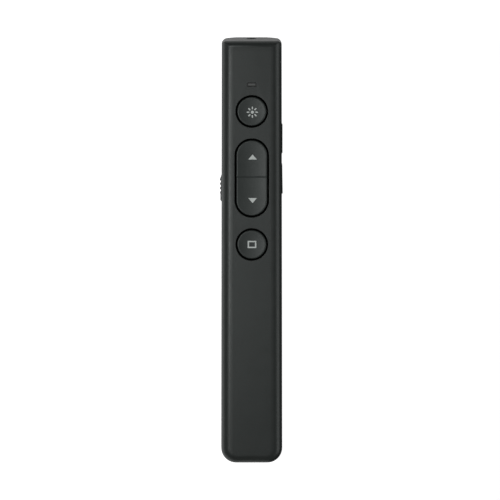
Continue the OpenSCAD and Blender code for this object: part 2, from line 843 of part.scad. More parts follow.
// A flat dome switch under one half of the rocker
module page_switch(y) {
    translate([0, y, 0]) {
        span([-switch_edge / 2, -switch_edge / 2, board_top],
            [switch_edge / 2, switch_edge / 2, board_top + switch_h]);
        upright(board_top + switch_h - eps, page_plunger_top, plunger_d / 2);
    }
}

module page_up_switch() color("#3a3a3c") page_switch(page_switch_ys[0]);
module page_down_switch() color("#3a3a3c") page_switch(page_switch_ys[1]);

// A push switch that lies on the board's edge and points sideways
module side_switch(y) {
    outer = side_switch_x(y);
    difference() {
        span([outer - side_switch_l, y - switch_edge / 2, board_top],
            [outer, y + switch_edge / 2, board_top + switch_h]);
        translate([outer - side_bore_l, y, side_plunger_z]) rotate([0, 90, 0])
            cylinder(h = 2 * side_bore_l, d = side_plunger_d + 2 * plunger_fit);
    }
}

module side_plunger(y) {
    low = side_switch_x(y) - side_bore_l + press_travel + slide_gap;
    translate([low, y, side_plunger_z]) rotate([0, 90, 0])
        cylinder(h = side_plunger_x(y) - low, d = side_plunger_d);
}

module upper_side_switch() color("#3a3a3c") side_switch(upper_key_y);
module lower_side_switch() color("#3a3a3c") side_switch(lower_key_y);
module upper_side_plunger() color("#d8d4c8") side_plunger(upper_key_y);
module lower_side_plunger() color("#d8d4c8") side_plunger(lower_key_y);

module power_switch() color(steel) {
    outer = -side_switch_x(slider_y);
    middle = slider_y + slider_travel / 2;
    difference() {
        span([outer, middle - power_switch_l / 2, board_top],
            [outer + power_switch_w, middle + power_switch_l / 2, board_top + power_switch_h]);
        span([-far, slider_y - lever_w / 2 - slide_gap, lever_z - lever_h / 2 - lever_fit],
            [outer + lever_reach + slide_gap, slider_y + slider_travel + lever_w / 2 + slide_gap,
                lever_z + lever_h / 2 + lever_fit]);
    }
}

module power_switch_lever() color("#d8d4c8")
    span([slide_gap - key_back_x(slider_y) - key_flange_t, slider_y - lever_w / 2, lever_z - lever_h / 2],
        [lever_reach - side_switch_x(slider_y), slider_y + lever_w / 2, lever_z + lever_h / 2]);

module laser_barrel() color(brass) translate([0, 0, laser_z]) rotate([-90, 0, 0]) difference() {
    union() {
        translate([0, 0, barrel_tail_y]) cylinder(h = barrel_l, r = barrel_r);
        translate([0, 0, barrel_head_y - 1]) cylinder(h = 2, r = aperture_d / 2 - 0.08);
    }
    translate([0, 0, barrel_tail_y - 1]) cylinder(h = barrel_l - 1, r = barrel_bore_r);
    translate([0, 0, barrel_tail_y]) cylinder(h = far, r = 1);
}

module laser_lens() color("#cfe3f2") translate([0, barrel_head_y - 5.9, laser_z]) rotate([-90, 0, 0])
    intersection() {
        cylinder(h = 3, r = barrel_bore_r - 0.03);
        translate([0, 0, -4.4]) sphere(6.2);
    }

module laser_diode() color(gold) translate([0, barrel_tail_y + 0.6, laser_z]) rotate([-90, 0, 0]) {
    cylinder(h = 1.2, r = barrel_bore_r - 0.03);
    translate([0, 0, 1.2 - eps]) cylinder(h = 2.2, r = 1.6);
    for (turn = [0:2]) rotate([0, 0, 120 * turn]) translate([1, 0, -1.2]) cylinder(h = 1.3, r = 0.2);
}

module laser_driver_board() color(board_green)
    span([-3.1, laser_board_y - laser_board_t, laser_z - 2.7],
        [3.1, laser_board_y, laser_z + 3]);

module laser_pins() color(gold) for (x = laser_pin_xs)
    span([x - laser_pin_w / 2, laser_board_y - laser_board_t - laser_pin_w, laser_z + 1.8],
        [x + laser_pin_w / 2, laser_board_y - laser_board_t, board_top + 0.5]);

module battery_cell() color("#2f5d9c") translate([0, 0, cell_z]) rotate([-90, 0, 0]) {
    translate([0, 0, cell_tail_y]) cylinder(h = cell_head_y - cell_tail_y, r = cell_r);
    translate([0, 0, cell_head_y - eps]) cylinder(h = cell_nub_l + eps, r = cell_nub_r);
}

module positive_contact() color(steel) {
    half = 0.67 * cell_r;
    span([-half, bay_head_y - contact_t, cell_z - cell_nub_r], [half, bay_head_y, board_top + contact_t]);
    translate([0, bay_head_y - 2 * contact_t, cell_z]) rotate([-90, 0, 0])
        cylinder(h = contact_t + eps, r = 0.6 * cell_nub_r);
    span([lead_x - lead_w / 2, bay_head_y - contact_t, board_top],
        [lead_x + lead_w / 2, board_tail_y + lead_w / 2, board_top + contact_t]);
}

module negative_contact() color(steel) {
    low_z = board_top - 0.4;
    turn_y = corner_y - 1;
    foot_y = tail_screw_y + boss_r + boss_gap;
    plate_x = [-0.88 * cell_r, 0.67 * cell_r];
    span([plate_x[0], negative_plate_y, cell_z - 0.63 * cell_r],
        [plate_x[1], negative_plate_y + contact_t, front_in - 1.4]);
    hull() {
        span([plate_x[0], negative_plate_y, low_z],
            [plate_x[0] + 0.2, negative_plate_y + contact_t, low_z + strip_w]);
        span([-strip_x, turn_y - 0.2, low_z], [contact_t - strip_x, turn_y, low_z + strip_w]);
    }
    span([-strip_x, turn_y - 0.2, low_z], [contact_t - strip_x, foot_y + lead_w / 2, low_z + strip_w]);
    span([-strip_x, foot_y, board_top],
        [lead_w / 2 - board_w / 2, foot_y + lead_w / 2, board_top + contact_t]);
}

// Points of the spring's middle line, drawn in towards the cell, and the rings of its six-sided wire
spring_r = 3.3;
spring_l = cell_tail_y - negative_plate_y - contact_t;
spring_steps = 16;
spring_sides = 6;
spring_count = floor(spring_steps * spring_turns);
function spring_point(i) =
    let (t = i / spring_count, angle = 360 * i / spring_steps, r = spring_r * (1 - t / 3))
    [r * cos(angle), spring_wire / 2 + t * (spring_l - spring_wire), r * sin(angle)];
function spring_ring(i) =
    let (angle = 360 * i / spring_steps)
    [for (s = [0:spring_sides - 1]) let (a = 360 * s / spring_sides)
        spring_point(i) + spring_wire / 2 * [cos(a) * cos(angle), sin(a), cos(a) * sin(angle)]];
spring_gap = min([for (i = [0:spring_count - spring_steps])
    norm(spring_point(i + spring_steps) - spring_point(i)) - spring_wire]);
echo(least_gap_between_spring_turns = spring_gap);

// One unbroken tube along the spring's middle line
module negative_spring() {
    points = [for (i = [0:spring_count]) each spring_ring(i)];
    last = spring_count * spring_sides;
    walls = [for (i = [0:spring_count - 1], s = [0:spring_sides - 1])
        let (a = i * spring_sides + s, b = i * spring_sides + (s + 1) % spring_sides)
        each [[a, b, b + spring_sides], [a, b + spring_sides, a + spring_sides]]];
    ends = [for (s = [1:spring_sides - 2])
        each [[0, s + 1, s], [last, last + s, last + s + 1]]];
    color(steel) translate([0, negative_plate_y + contact_t, cell_z]) polyhedron(points, concat(walls, ends));
}

module receiver_grip() color(plastic) difference() {
    intersection() {
        body_form(0);
        span([-grip_w / 2, grip_tail_y, -1], [grip_w / 2, grip_head_y, grip_t]);
    }
    span([-plug_w / 2, grip_head_y - plug_root, plug_z0], [plug_w / 2, far, plug_z0 + plug_t]);
}

module receiver_plug_shell() color(steel) difference() {
    low = [-plug_w / 2, grip_head_y - plug_root, plug_z0];
    high = [plug_w / 2, plug_head_y, plug_z0 + plug_t];
    skin = [plug_shell_t, 0, plug_shell_t];
    span(low, high);
    span(low + skin - [0, 1, 0], high - skin + [0, 1, 0]);
    both_sides() translate([plug_w / 4, plug_head_y - plug_l / 2, 0])
        cube([plug_hole_w, plug_hole_l, far], center = true);
}

module receiver_tongue() color("#e6e6e2")
    span([plug_shell_t - plug_w / 2 + 0.1, grip_head_y - plug_root, tongue_z],
        [plug_w / 2 - plug_shell_t - 0.1, plug_head_y - 0.6, tongue_z + tongue_t]);

module receiver_contacts() color(gold) for (i = [0:3])
    translate([plug_contact_pitch * (i - 1.5), 0, tongue_z])
        span([-0.5, plug_head_y - 0.65 * plug_l, -print_t], [0.5, plug_head_y - 1.6, 0]);

// A screw from the back, with its head under the seat and a cross recess
module screw(shank_d, head_d, head_h, seat, tip) {
    difference() {
        union() {
            upright(seat - head_h, seat, head_d / 2);
            upright(seat - eps, tip, shank_d / 2);
        }
        for (turn = [0, 90]) rotate([0, 0, turn]) translate([0, 0, seat - head_h])
            cube([head_d * 0.55, head_d * 0.16, head_h], center = true);
    }
}

module housing_screws() color(steel) both_sides() {
    translate([tail_screw_x, tail_screw_y, 0])
        screw(screw_d, screw_head_d, screw_head_h, tail_screw_seat, pilot_top - 0.3);
    translate([head_screw_x, head_screw_y, 0])
        screw(screw_d, screw_head_d, screw_head_h, head_screw_seat, pilot_top - 0.3);
}

module board_screws() color(steel) for (place = board_screw_places) translate([place.x, place.y, 0])
    screw(board_screw_d, board_screw_head_d, board_screw_head_h, board_bottom, front_in - 1);

front_cover();
rear_housing();
battery_door();
laser_button();
page_rocker();
screen_button();
upper_side_key();
lower_side_key();
power_slider();
status_light_pipe();
status_led();
main_board();
radio_chip();
clock_crystal();
small_parts();
antenna_trace();
laser_switch();
laser_switch_plunger();
screen_switch();
screen_switch_plunger();
page_up_switch();
page_down_switch();
upper_side_switch();
upper_side_plunger();
lower_side_switch();
lower_side_plunger();
power_switch();
power_switch_lever();
laser_barrel();
laser_lens();
laser_diode();
laser_driver_board();
laser_pins();
battery_cell();
positive_contact();
negative_contact();
negative_spring();
receiver_grip();
receiver_plug_shell();
receiver_tongue();
receiver_contacts();
housing_screws();
board_screws();
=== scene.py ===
"""A slim wireless presentation clicker, lying on its rounded back on a pale floor, seen from above."""
import json
import math

import bmesh
import bpy
from mathutils import Matrix, Vector


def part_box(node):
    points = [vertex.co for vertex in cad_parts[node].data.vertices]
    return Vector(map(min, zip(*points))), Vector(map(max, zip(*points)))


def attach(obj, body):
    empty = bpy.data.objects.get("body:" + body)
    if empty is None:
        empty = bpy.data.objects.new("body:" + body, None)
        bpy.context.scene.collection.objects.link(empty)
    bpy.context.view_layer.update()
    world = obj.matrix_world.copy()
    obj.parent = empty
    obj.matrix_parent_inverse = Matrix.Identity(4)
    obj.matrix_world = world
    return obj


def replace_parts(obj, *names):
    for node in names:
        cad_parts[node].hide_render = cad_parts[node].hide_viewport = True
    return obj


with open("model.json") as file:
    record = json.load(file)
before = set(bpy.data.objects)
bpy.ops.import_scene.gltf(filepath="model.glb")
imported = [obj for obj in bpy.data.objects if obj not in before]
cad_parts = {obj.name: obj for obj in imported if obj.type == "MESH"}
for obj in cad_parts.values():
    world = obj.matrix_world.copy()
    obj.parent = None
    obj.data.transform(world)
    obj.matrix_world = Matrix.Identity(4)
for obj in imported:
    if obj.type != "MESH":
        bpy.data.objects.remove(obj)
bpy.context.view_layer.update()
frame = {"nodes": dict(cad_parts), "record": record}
nodes = frame["nodes"]
MM = 0.001


# ---------------------------------------------------------------- places taken from the frame

def centre_of(node):
    """The middle of a CAD node's box."""
    low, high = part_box(node)
    return (low + high) / 2


FACE_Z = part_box("front_cover")[1].z
SCREEN_BUTTON = centre_of("screen_button")
LASER_BUTTON = centre_of("laser_button")
ROCKER = centre_of("page_rocker")

# Caps: the openings in the cover, the gap round each cap, its flange under the cover, its finger dish
ROUND_HOLE = (10.9 * MM, 10.9 * MM)
ROCKER_HOLE = (11.5 * MM, 26.6 * MM)
CAP_GAP = 0.6 * MM
FLANGE_REACH = 0.75 * MM
FLANGE_TOP = FACE_Z - 1.4 * MM
FLANGE_T = 0.65 * MM
DISH_SLOPE = math.radians(4.7)
CAP_RIM = 0.35 * MM

# The rocker: its crease lies a little off its middle, and its flange is low enough to tilt
CREASE_AT = 0.3 * MM
ROCKER_FLANGE_TOP = FACE_Z - 1.894 * MM
ROCKER_POST_BOTTOM = FACE_Z - 2.94 * MM
ROCKER_PIN_Z = FACE_Z - 2.3 * MM

# How far the ribs of the slider knob stand proud
SLIDER_PROUD = 0.54 * MM


# ---------------------------------------------------------------- materials

# Sockets of a colour mix, which have the same names as those of its other data types
MIX_FACTOR = 0
MIX_A = 6
MIX_B = 7
MIX_COLOUR = 2


def new_material(name):
    material = bpy.data.materials.new(name)
    material.use_nodes = True
    tree = material.node_tree
    shader = tree.nodes["Principled BSDF"]
    return material, tree, shader


def link(tree, source, output, target, socket):
    tree.links.new(source.outputs[output], target.inputs[socket])


def add_node(tree, kind, **settings):
    """A node whose settings are its input sockets or, where it has no such socket, its properties."""
    node = tree.nodes.new(kind)
    for key, value in settings.items():
        if key in node.inputs:
            node.inputs[key].default_value = value
        else:
            setattr(node, key, value)
    return node


def noise(tree, scale, detail=2.0, roughness=0.5):
    """Noise over the object's own coordinates. The scale is in features per metre."""
    coords = add_node(tree, "ShaderNodeTexCoord")
    texture = add_node(tree, "ShaderNodeTexNoise", Scale=scale, Detail=detail, Roughness=roughness)
    link(tree, coords, "Object", texture, "Vector")
    return texture


def object_place(tree):
    """The place on the object, as separate X, Y and Z outputs."""
    coords = add_node(tree, "ShaderNodeTexCoord")
    split = add_node(tree, "ShaderNodeSeparateXYZ")
    link(tree, coords, "Object", split, "Vector")
    return split


def map_range(tree, source, output, start, end, low=0.0, high=1.0, shape="LINEAR"):
    """Maps start..end of a source onto low..high."""
    node = add_node(tree, "ShaderNodeMapRange", interpolation_type=shape)
    for socket, value in (("From Min", start), ("From Max", end), ("To Min", low), ("To Max", high)):
        node.inputs[socket].default_value = value
    link(tree, source, output, node, "Value")
    return node


def spread(tree, source, output, low, high):
    """Maps the middle of a noise's range onto low..high."""
    return map_range(tree, source, output, 0.3, 0.7, low, high)


def colour_mix(tree, factor, output, first, second):
    """The output socket of a mix between two colours."""
    node = add_node(tree, "ShaderNodeMix", data_type="RGBA")
    node.inputs[MIX_A].default_value = (*first, 1)
    node.inputs[MIX_B].default_value = (*second, 1)
    link(tree, factor, output, node, MIX_FACTOR)
    return node.outputs[MIX_COLOUR]


def bumped(tree, shader, source, output, strength, height):
    bump = add_node(tree, "ShaderNodeBump", Strength=strength, Distance=height)
    link(tree, source, output, bump, "Height")
    link(tree, bump, "Normal", shader, "Normal")


def moulded_plastic(name, colour, roughness, grain=0.5, grain_size=0.16 * MM, drift=0.12):
    """Satin moulded plastic: spark-eroded grain, cloudy colour and gloss that drifts a little."""
    material, tree, shader = new_material(name)
    shader.inputs["Specular Tint"].default_value = (0.955, 1.0, 0.985, 1)
    cloud = noise(tree, 90, 3)
    darker = [c * (1 - drift) for c in colour]
    lighter = [c * (1 + drift) for c in colour]
    tree.links.new(colour_mix(tree, cloud, "Fac", darker, lighter), shader.inputs["Base Color"])
    smear = noise(tree, 260, 4, 0.6)
    gloss = spread(tree, smear, "Fac", roughness - 0.035, roughness + 0.035)
    link(tree, gloss, "Result", shader, "Roughness")
    bumped(tree, shader, noise(tree, 1 / grain_size), "Fac", grain, 0.006 * MM)
    return material


def crowned(material):
    """The flat face leans away before its rounded edges begin, along both sides and at the laser end."""
    tree = material.node_tree
    shader = tree.nodes["Principled BSDF"]
    normal = shader.inputs["Normal"].links[0].from_socket
    height = 0.12 * MM
    place = object_place(tree)
    across = add_node(tree, "ShaderNodeMath", operation="ABSOLUTE")
    link(tree, place, "X", across, 0)
    falls = ((across, "Value", 6.2 * MM, 8.9 * MM), (place, "Y", 67.8 * MM, 70.8 * MM))
    for source, output, start, end in falls:
        fall = map_range(tree, source, output, start, end, 1.0, 0.0, shape="SMOOTHSTEP")
        bump = add_node(tree, "ShaderNodeBump", Strength=1.0, Distance=height)
        link(tree, fall, "Result", bump, "Height")
        tree.links.new(normal, bump.inputs["Normal"])
        normal = bump.outputs["Normal"]
    tree.links.new(normal, shader.inputs["Normal"])
    return material


def cap_plastic(name):
    return moulded_plastic(name, (0.0205, 0.0255, 0.0238), 0.36, grain=0.6, grain_size=0.12 * MM)


def paint_gap_shade(material):
    """Painted shade: deep in the gap round a cap, the colour goes near black and the shine fades, where
    shade falls.
    """
    tree = material.node_tree
    shader = tree.nodes["Principled BSDF"]
    plain_shine = 0.5
    dark = FACE_Z - 0.75 * MM
    clear = FACE_Z - 0.3 * MM
    height = map_range(tree, object_place(tree), "Z", dark, clear)
    shine = add_node(tree, "ShaderNodeMath", operation="MULTIPLY")
    shine.inputs[1].default_value = plain_shine
    link(tree, height, "Result", shine, 0)
    link(tree, shine, "Value", shader, "Specular IOR Level")
    # Painted shade: near black deep in the gap, the cap's own colour nearer the face
    gap_shade_colour = add_node(tree, "ShaderNodeMix", data_type="RGBA")
    gap_shade_colour.inputs[MIX_A].default_value = (0.003, 0.003, 0.003, 1)
    link(tree, height, "Result", gap_shade_colour, MIX_FACTOR)
    tree.links.new(shader.inputs["Base Color"].links[0].from_socket, gap_shade_colour.inputs[MIX_B])
    link(tree, gap_shade_colour, MIX_COLOUR, shader, "Base Color")
    return material


def metal(name, colour, roughness, scratch=0.2, stretch=(1, 1, 1)):
    """Sheet or turned metal with fine brushing along one way and small stains."""
    material, tree, shader = new_material(name)
    coords = add_node(tree, "ShaderNodeTexCoord")
    mapping = add_node(tree, "ShaderNodeMapping", Scale=stretch)
    link(tree, coords, "Object", mapping, "Vector")
    brush = add_node(tree, "ShaderNodeTexNoise", Scale=4200, Detail=3)
    link(tree, mapping, "Vector", brush, "Vector")
    stains = noise(tree, 300, 3)
    tint = colour_mix(tree, stains, "Fac", [0.86 * c for c in colour], colour)
    tree.links.new(tint, shader.inputs["Base Color"])
    gloss = spread(tree, brush, "Fac", roughness * 0.8, roughness * 1.25)
    link(tree, gloss, "Result", shader, "Roughness")
    bumped(tree, shader, brush, "Fac", scratch, 0.004 * MM)
    shader.inputs["Metallic"].default_value = 1.0
    return material


def clear_plastic(name, colour, roughness, transmission):
    material, tree, shader = new_material(name)
    cloud = noise(tree, 700)
    tint = colour_mix(tree, cloud, "Fac", [0.9 * c for c in colour], colour)
    tree.links.new(tint, shader.inputs["Base Color"])
    gloss = spread(tree, cloud, "Fac", roughness * 0.85, roughness * 1.15)
    link(tree, gloss, "Result", shader, "Roughness")
    shader.inputs["Transmission Weight"].default_value = transmission
    return material


def light_window(name, middle, half_x, half_y):
    """A small milky window in a dark surround."""
    material, tree, shader = new_material(name)
    place = object_place(tree)
    inside = add_node(tree, "ShaderNodeMath", operation="MULTIPLY")
    for i, (axis, at, half) in enumerate((("X", middle.x, half_x), ("Y", middle.y, half_y))):
        near = add_node(tree, "ShaderNodeMath", operation="COMPARE")
        near.inputs[1].default_value = at
        near.inputs[2].default_value = half
        link(tree, place, axis, near, 0)
        link(tree, near, "Value", inside, i)
    tint = colour_mix(tree, inside, "Value", (0.004, 0.004, 0.004), (0.075, 0.082, 0.078))
    tree.links.new(tint, shader.inputs["Base Color"])
    bumped(tree, shader, noise(tree, 5000), "Fac", 0.2, 0.005 * MM)
    shader.inputs["Roughness"].default_value = 0.4
    return material


def board_laminate(name):
    """Green solder mask over copper tracks, with the faint weave of the glass cloth."""
    material, tree, shader = new_material(name)
    coords = add_node(tree, "ShaderNodeTexCoord")
    weave = add_node(
        tree, "ShaderNodeTexWave", Scale=1300.0, Distortion=1.5, bands_direction="DIAGONAL")
    link(tree, coords, "Object", weave, "Vector")
    tracks = add_node(tree, "ShaderNodeTexVoronoi", feature="DISTANCE_TO_EDGE", Scale=420.0)
    link(tree, coords, "Object", tracks, "Vector")
    edge = add_node(tree, "ShaderNodeMath", operation="LESS_THAN")
    edge.inputs[1].default_value = 0.07
    link(tree, tracks, "Distance", edge, 0)
    tint = colour_mix(tree, edge, "Value", (0.012, 0.105, 0.045), (0.03, 0.19, 0.085))
    tree.links.new(tint, shader.inputs["Base Color"])
    bumped(tree, shader, weave, "Fac", 0.15, 0.01 * MM)
    shader.inputs["Roughness"].default_value = 0.34
    return material


SHELL_LOOK = ((0.0190, 0.0225, 0.0212), 0.37)
SHELL = moulded_plastic("shell_plastic", *SHELL_LOOK)
COVER = crowned(moulded_plastic("cover_plastic", *SHELL_LOOK))
SIDE_KEY = cap_plastic("side_key_plastic")
# The caps, with painted shade deep in the gaps round them
CAP = paint_gap_shade(cap_plastic("cap_plastic"))
INK = moulded_plastic("icon_ink", (0.62, 0.66, 0.64), 0.5, grain=0.3, drift=0.05)
CHIP = moulded_plastic("chip_plastic", (0.022, 0.022, 0.024), 0.45, grain=0.8, grain_size=0.05 * MM)
NYLON = moulded_plastic("plunger_plastic", (0.62, 0.58, 0.48), 0.4, drift=0.05)
TONGUE = moulded_plastic("tongue_plastic", (0.7, 0.7, 0.67), 0.38, drift=0.04)
CERAMIC = moulded_plastic("chip_ceramic", (0.36, 0.22, 0.10), 0.5, grain=0.4, grain_size=0.08 * MM)
LED = moulded_plastic("led_body", (0.75, 0.78, 0.55), 0.3, drift=0.05)
SLEEVE = moulded_plastic("cell_sleeve", (0.02, 0.07, 0.26), 0.25, grain=0.15, drift=0.1)
BOARD = board_laminate("board_laminate")
NICKEL = metal("contact_metal", (0.66, 0.65, 0.62), 0.28, stretch=(1, 0.06, 1))
GOLD = metal("gold_plating", (0.90, 0.66, 0.28), 0.25)
BRASS = metal("barrel_brass", (0.62, 0.45, 0.18), 0.3, stretch=(1, 8, 1))
DARK_STEEL = metal("screw_steel", (0.22, 0.22, 0.23), 0.32)
LENS = clear_plastic("lens_glass", (0.95, 0.97, 1.0), 0.03, 1.0)
PIPE = light_window("light_pipe", centre_of("status_light_pipe"), 1.15 * MM, 0.3 * MM)

FINISH = {
    "shell_plastic": SHELL, "cap_plastic": SIDE_KEY, "light_pipe": PIPE, "led_body": LED,
    "board_laminate": BOARD, "chip_plastic": CHIP, "chip_ceramic": CERAMIC, "gold_plating": GOLD,
    "plunger_plastic": NYLON, "contact_metal": NICKEL, "brass": BRASS, "lens_glass": LENS,
    "cell_sleeve": SLEEVE, "tongue_plastic": TONGUE, "screw_steel": DARK_STEEL,
}


# ---------------------------------------------------------------- CAD nodes: finish and softened edges

# Width of the softened edges in millimetres
EDGES = {
    "front_cover": 0.12, "rear_housing": 0.12, "battery_door": 0.12,
    "upper_side_key": 0.15, "lower_side_key": 0.15,
    "receiver_grip": 0.15, "receiver_plug_shell": 0.08, "receiver_tongue": 0.08,
    "battery_cell": 0.3, "laser_barrel": 0.1,
}


def soften(obj, width):
    """Rounds the sharp edges of a CAD node with modifiers, so its mesh stays as it is."""
    mesh = obj.data
    if "custom_normal" in mesh.attributes:
        mesh.attributes.remove(mesh.attributes["custom_normal"])
    mesh.polygons.foreach_set("use_smooth", [True] * len(mesh.polygons))
    weld = obj.modifiers.new("weld", "WELD")
    weld.merge_threshold = 0.0005 * MM
    bevel = obj.modifiers.new("edges", "BEVEL")
    bevel.width = width
    bevel.segments = 2
    bevel.limit_method = "ANGLE"
    bevel.angle_limit = math.radians(32)
    bevel.use_clamp_overlap = False
    bevel.miter_outer = "MITER_ARC"
    even = obj.modifiers.new("even_shading", "WEIGHTED_NORMAL")
    even.weight = 80


def finish_cad_nodes():
    slots = {part["node"]: part["material_slot"] for part in frame["record"]["subparts"]}
    for name, obj in nodes.items():
        obj.data.materials.clear()
        obj.data.materials.append(COVER if name == "front_cover" else FINISH[slots[name]])
        if name in EDGES:
            soften(obj, EDGES[name] * MM)


# ---------------------------------------------------------------- mesh helpers

class Shape:
    """Closed solids built from rings of points, gathered in one mesh."""

    def __init__(self):
        self.bm = bmesh.new()

    def stack(self, rings, closed_end=True):
        """Joins rings with the same number of points, from the first to the last."""
        rows = [[self.bm.verts.new(point) for point in ring] for ring in rings]
        count = len(rows[0])
        for lower, upper in zip(rows, rows[1:]):
            for i in range(count):
                k = (i + 1) % count
                self.bm.faces.new((lower[i], lower[k], upper[k], upper[i]))
        self.bm.faces.new(rows[0][::-1])
        if closed_end:
            self.bm.faces.new(rows[-1])

    def piece(self, name, material, body, slot):
        """Makes the object, with its shading broken only at sharp edges."""
        merge = 0.0002 * MM
        sharp = math.radians(40)
        bmesh.ops.remove_doubles(self.bm, verts=self.bm.verts[:], dist=merge)
        bmesh.ops.dissolve_degenerate(self.bm, edges=self.bm.edges[:], dist=merge)
        bmesh.ops.recalc_face_normals(self.bm, faces=self.bm.faces[:])
        mesh = bpy.data.meshes.new(name)
        self.bm.to_mesh(mesh)
        self.bm.free()
        mesh.polygons.foreach_set("use_smooth", [True] * len(mesh.polygons))
        mesh.set_sharp_from_angle(angle=sharp)
        mesh.materials.append(material)
        obj = bpy.data.objects.new(name, mesh)
        bpy.context.scene.collection.objects.link(obj)
        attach(obj, body)
        return obj


def arc(middle, r, start, end, steps):
    """Points along an arc, its angles in degrees, ends included."""
    angles = [math.radians(start + (end - start) * i / steps) for i in range(steps + 1)]
    return [(middle[0] + r * math.cos(a), middle[1] + r * math.sin(a)) for a in angles]


def slot_outline(w, l, ys, steps=40):
    """A slot-shaped outline along Y. Its straight sides have points at ys, up to where the arcs start."""
    r = w / 2
    half = (l - w) / 2
    right = [(r, y) for y in ys]
    left = [(-r, y) for y in reversed(ys)]
    head = arc((0, half), r, 0, 180, steps)[1:-1]
    tail = arc((0, -half), r, 180, 360, steps)[1:-1]
    return right + head + left + tail


# ---------------------------------------------------------------- the caps

def cap_drop(inset, half_w):
    """Depth of a cap's top below the button face: a round rim, then a shallow finger dish."""
    crest = CAP_RIM * (1 + math.sin(DISH_SLOPE))
    if inset < crest:
        return CAP_RIM - math.sqrt(max(CAP_RIM ** 2 - (CAP_RIM - inset) ** 2, 0))
    reach = half_w - crest
    depth = math.tan(DISH_SLOPE) * reach / 2
    start = CAP_RIM * (1 - math.cos(DISH_SLOPE))
    return start + depth * (1 - ((half_w - inset) / reach) ** 2)


def crease_drop(y):
    """Depth of the crease across the rocker, at a distance y from it."""
    half, depth = 0.26 * MM, 0.08 * MM
    return depth * max(0, 1 - abs(y) / half)


def cap_shape(hole, middle, ys, flange_top, creased=False):
    """A cap with its flange. Its outline is that of its opening, less the gap."""
    w, l = (size - 2 * CAP_GAP for size in hole)
    flange = -CAP_GAP - FLANGE_REACH

    def ring(inset, z):
        points = slot_outline(w - 2 * inset, l - 2 * inset, ys)
        cut = creased and z > FACE_Z - 2 * CAP_RIM
        drops = [crease_drop(y - CREASE_AT) if cut else 0 for _, y in points]
        return [(middle.x + x, middle.y + y, z - drop) for (x, y), drop in zip(points, drops)]

    rings = [
        ring(flange, flange_top - FLANGE_T), ring(flange, flange_top),
        ring(0, flange_top), ring(0, FACE_Z - 2 * CAP_RIM)
    ]
    rim_steps = 8
    for i in range(rim_steps + 1):
        turn = (math.pi / 2 + DISH_SLOPE) * i / rim_steps
        rings.append(ring(CAP_RIM * (1 - math.cos(turn)), FACE_Z - CAP_RIM * (1 - math.sin(turn))))
    start = CAP_RIM * (1 + math.sin(DISH_SLOPE))
    dish_steps = 14
    for i in range(1, dish_steps + 1):
        inset = start + (w / 2 - start) * i / dish_steps
        rings.append(ring(inset, FACE_Z - cap_drop(inset, w / 2)))
    shape = Shape()
    shape.stack(rings, closed_end=False)
    return shape


def add_post(shape, x, y, r, low, high):
    circle = arc((x, y), r, 0, 360, 24)[:-1]
    shape.stack([[(px, py, z) for px, py in circle] for z in (low, high)])


def make_round_cap(name, node, middle, body):
    post_r = 1.3 * MM
    shape = cap_shape(ROUND_HOLE, middle, [0], FLANGE_TOP)
    add_post(shape, middle.x, middle.y, post_r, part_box(node)[0].z, FLANGE_TOP - FLANGE_T)
    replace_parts(shape.piece(name, CAP, body, "cap_plastic"), node)


def make_page_cap():
    """The rocker. Its straight sides have more points where the crease crosses them."""
    half = (ROCKER_HOLE[1] - ROCKER_HOLE[0]) / 2
    steps = [y * MM for y in (0.06, 0.13, 0.2, 0.26, 0.5, 1.2, 2.5, 4, 5.6)]
    below = [CREASE_AT - y for y in reversed(steps)]
    above = [CREASE_AT + y for y in steps]
    post_at, post_r = 8 * MM, 1 * MM
    pin_r = 0.7 * MM
    low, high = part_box("page_rocker")
    ys = [-half, *below, CREASE_AT, *above, half]
    shape = cap_shape(ROCKER_HOLE, ROCKER, ys, ROCKER_FLANGE_TOP, creased=True)
    flange_bottom = ROCKER_FLANGE_TOP - FLANGE_T
    for way in (-1, 1):
        add_post(shape, ROCKER.x, ROCKER.y + way * post_at, post_r, ROCKER_POST_BOTTOM, flange_bottom)
    pin = arc((ROCKER.y, ROCKER_PIN_Z), pin_r, 0, 360, 20)[:-1]
    shape.stack([[(x, y, z) for y, z in pin] for x in (low.x, high.x)])
    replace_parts(shape.piece("page_cap", CAP, "page_key", "cap_plastic"), "page_rocker")


# ---------------------------------------------------------------- the slider knob

def knob_outline(side, tail, head):
    """The knob seen from above: a pad, four ribs and a ramp. The body's side lies at x = side."""
    base = side + 0.4 * MM
    pad = side - 0.4 * MM
    foot = side - 0.25 * MM
    rib_r, rib_pitch = 0.3 * MM, 1.48 * MM
    rib_x = side - SLIDER_PROUD + rib_r
    last_rib = head - 2.3 * MM
    chamfer = 0.2 * MM
    outline = [
        (base, tail), (pad + chamfer, tail), (pad, tail + chamfer),
        (pad, tail + 2.2 * MM), (foot, tail + 2.5 * MM)
    ]
    for i in (3, 2, 1):
        outline += arc((rib_x, last_rib - i * rib_pitch), rib_r, 270, 90, 10)
    outline += arc((rib_x, last_rib), rib_r, 270, 180, 5)
    return outline + [(base - 0.1 * MM, head), (base, head)]


def add_block(shape, low, high):
    corners = ((low.x, low.y), (high.x, low.y), (high.x, high.y), (low.x, high.y))
    shape.stack([[(x, y, z) for x, y in corners] for z in (low.z, high.z)])


